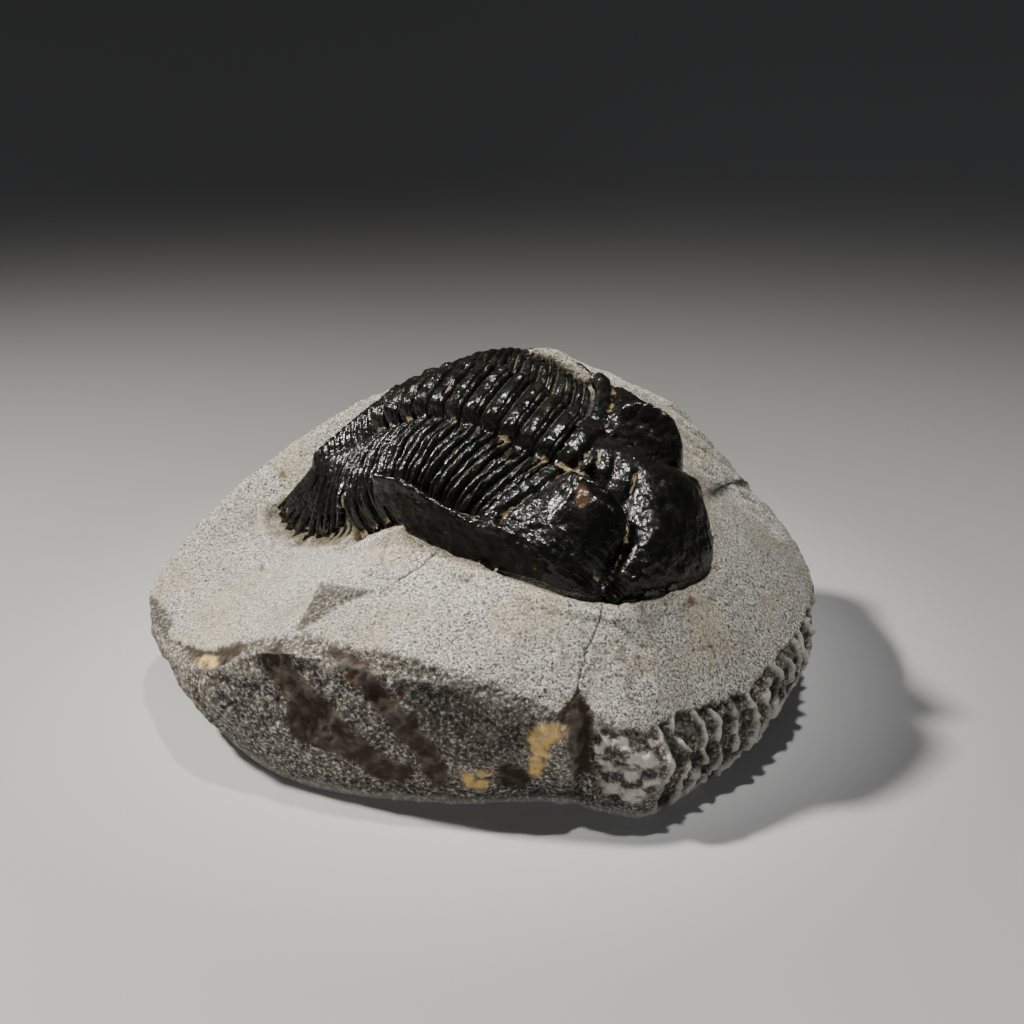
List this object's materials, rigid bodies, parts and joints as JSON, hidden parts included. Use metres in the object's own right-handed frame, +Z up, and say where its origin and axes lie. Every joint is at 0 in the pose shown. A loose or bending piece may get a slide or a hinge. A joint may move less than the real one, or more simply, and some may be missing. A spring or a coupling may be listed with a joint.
{
  "type": "trilobite fossil on matrix",
  "caption": "Strongly arched trilobite fossil with tall eyes, blade-like cheek spines and a fringed tail, prepared free on top of its loose block of pale limestone.",
  "frame": {"origin": "on the resting plane, in the middle of the footprint of the block's face that it rests on", "axes": "+Z up from the resting face, +X along the length of the block towards the end under the head, +Y towards the higher rear side of the block"},
  "size_m": [0.1022, 0.0802, 0.0517],
  "materials": {
    "limestone": "rough, worked and broken pale limestone with darker stained sides",
    "shell": "black calcite shell, glossy, with tan sediment left in its furrows"
  },
  "bodies": {
    "root": {"matrix": "limestone", "cephalon": "shell", "thorax_segment_01": "shell", "thorax_segment_02": "shell", "thorax_segment_03": "shell", "thorax_segment_04": "shell", "thorax_segment_05": "shell", "thorax_segment_06": "shell", "thorax_segment_07": "shell", "thorax_segment_08": "shell", "thorax_segment_09": "shell", "thorax_segment_10": "shell", "thorax_segment_11": "shell", "pygidium": "shell"}
  },
  "joints": []
}
